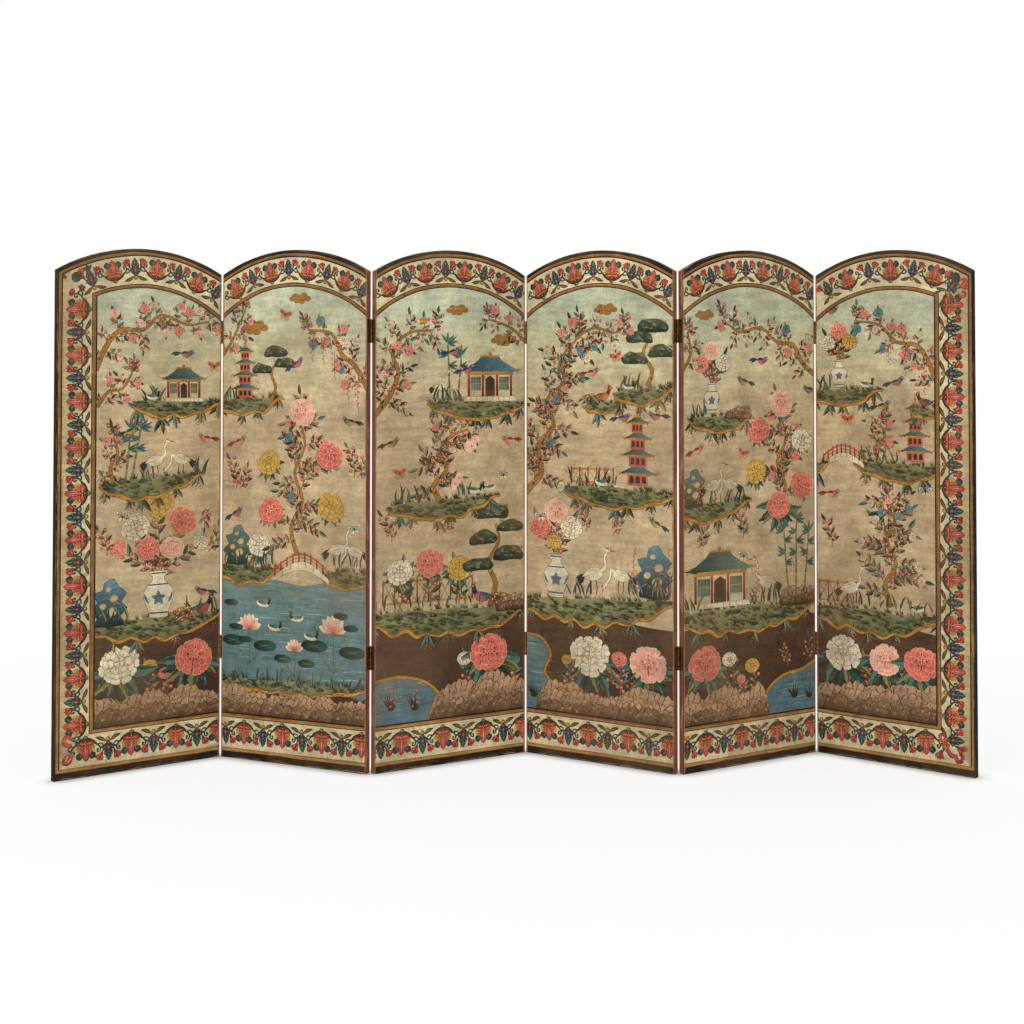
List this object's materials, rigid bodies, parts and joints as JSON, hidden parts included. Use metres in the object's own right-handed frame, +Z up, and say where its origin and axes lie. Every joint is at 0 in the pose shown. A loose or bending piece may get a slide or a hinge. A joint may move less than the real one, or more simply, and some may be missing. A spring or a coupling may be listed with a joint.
{
  "type": "folding screen",
  "caption": "Free-standing folding screen of arched canvas-covered wooden leaves, joined by butt hinges on alternate faces so that it stands in a zigzag and folds flat.",
  "frame": {"origin": "middle of the footprint's box, on the floor", "axes": "+X along the screen from leaf 1 to leaf 6, +Y from the painted side to the back, +Z up"},
  "size_m": [2.95, 0.3886, 1.697],
  "materials": {
    "painted_canvas": "aged matt paint on canvas, lightly crackled",
    "backing_canvas": "plain dark size colour on canvas",
    "frame_wood": "red-brown stained pine, worn at the arrises",
    "hinge_brass": "dark tarnished brass"
  },
  "bodies": {
    "leaf_1": {"leaf_1_left_stile": "frame_wood", "leaf_1_right_stile": "frame_wood", "leaf_1_arched_rail": "frame_wood", "leaf_1_cross_rail": "frame_wood", "leaf_1_bottom_rail": "frame_wood", "leaf_1_front_canvas": "painted_canvas", "leaf_1_back_canvas": "backing_canvas", "fold_1_2_left_plates": "hinge_brass", "fold_1_2_pins": "hinge_brass"},
    "leaf_2": {"leaf_2_left_stile": "frame_wood", "leaf_2_right_stile": "frame_wood", "leaf_2_arched_rail": "frame_wood", "leaf_2_cross_rail": "frame_wood", "leaf_2_bottom_rail": "frame_wood", "leaf_2_front_canvas": "painted_canvas", "leaf_2_back_canvas": "backing_canvas", "fold_1_2_right_plates": "hinge_brass", "fold_2_3_left_plates": "hinge_brass", "fold_2_3_pins": "hinge_brass"},
    "leaf_3": {"leaf_3_left_stile": "frame_wood", "leaf_3_right_stile": "frame_wood", "leaf_3_arched_rail": "frame_wood", "leaf_3_cross_rail": "frame_wood", "leaf_3_bottom_rail": "frame_wood", "leaf_3_front_canvas": "painted_canvas", "leaf_3_back_canvas": "backing_canvas", "fold_2_3_right_plates": "hinge_brass", "fold_3_4_left_plates": "hinge_brass", "fold_3_4_pins": "hinge_brass"},
    "leaf_4": {"leaf_4_left_stile": "frame_wood", "leaf_4_right_stile": "frame_wood", "leaf_4_arched_rail": "frame_wood", "leaf_4_cross_rail": "frame_wood", "leaf_4_bottom_rail": "frame_wood", "leaf_4_front_canvas": "painted_canvas", "leaf_4_back_canvas": "backing_canvas", "fold_3_4_right_plates": "hinge_brass", "fold_4_5_left_plates": "hinge_brass", "fold_4_5_pins": "hinge_brass"},
    "leaf_5": {"leaf_5_left_stile": "frame_wood", "leaf_5_right_stile": "frame_wood", "leaf_5_arched_rail": "frame_wood", "leaf_5_cross_rail": "frame_wood", "leaf_5_bottom_rail": "frame_wood", "leaf_5_front_canvas": "painted_canvas", "leaf_5_back_canvas": "backing_canvas", "fold_4_5_right_plates": "hinge_brass", "fold_5_6_left_plates": "hinge_brass", "fold_5_6_pins": "hinge_brass"},
    "leaf_6": {"leaf_6_left_stile": "frame_wood", "leaf_6_right_stile": "frame_wood", "leaf_6_arched_rail": "frame_wood", "leaf_6_cross_rail": "frame_wood", "leaf_6_bottom_rail": "frame_wood", "leaf_6_front_canvas": "painted_canvas", "leaf_6_back_canvas": "backing_canvas", "fold_5_6_right_plates": "hinge_brass"}
  },
  "joints": [
    {"name": "fold_1_2", "type": "hinge", "parent": "leaf_1", "child": "leaf_2", "pos_m": [-0.99641, 0.12876, 0.897], "axis": [0, 0, 1], "range_deg": [-119.3, 60.7]},
    {"name": "fold_2_3", "type": "hinge", "parent": "leaf_2", "child": "leaf_3", "pos_m": [-0.47236, -0.0921, 0.897], "axis": [0, 0, -1], "range_deg": [-123.7, 56.3]},
    {"name": "fold_3_4", "type": "hinge", "parent": "leaf_3", "child": "leaf_4", "pos_m": [0.03068, 0.17315, 0.897], "axis": [0, 0, 1], "range_deg": [-116.4, 63.6]},
    {"name": "fold_4_5", "type": "hinge", "parent": "leaf_4", "child": "leaf_5", "pos_m": [0.52242, -0.11251, 0.897], "axis": [0, 0, -1], "range_deg": [-115.3, 64.7]},
    {"name": "fold_5_6", "type": "hinge", "parent": "leaf_5", "child": "leaf_6", "pos_m": [1.02027, 0.16235, 0.897], "axis": [0, 0, 1], "range_deg": [-109, 71]}
  ]
}
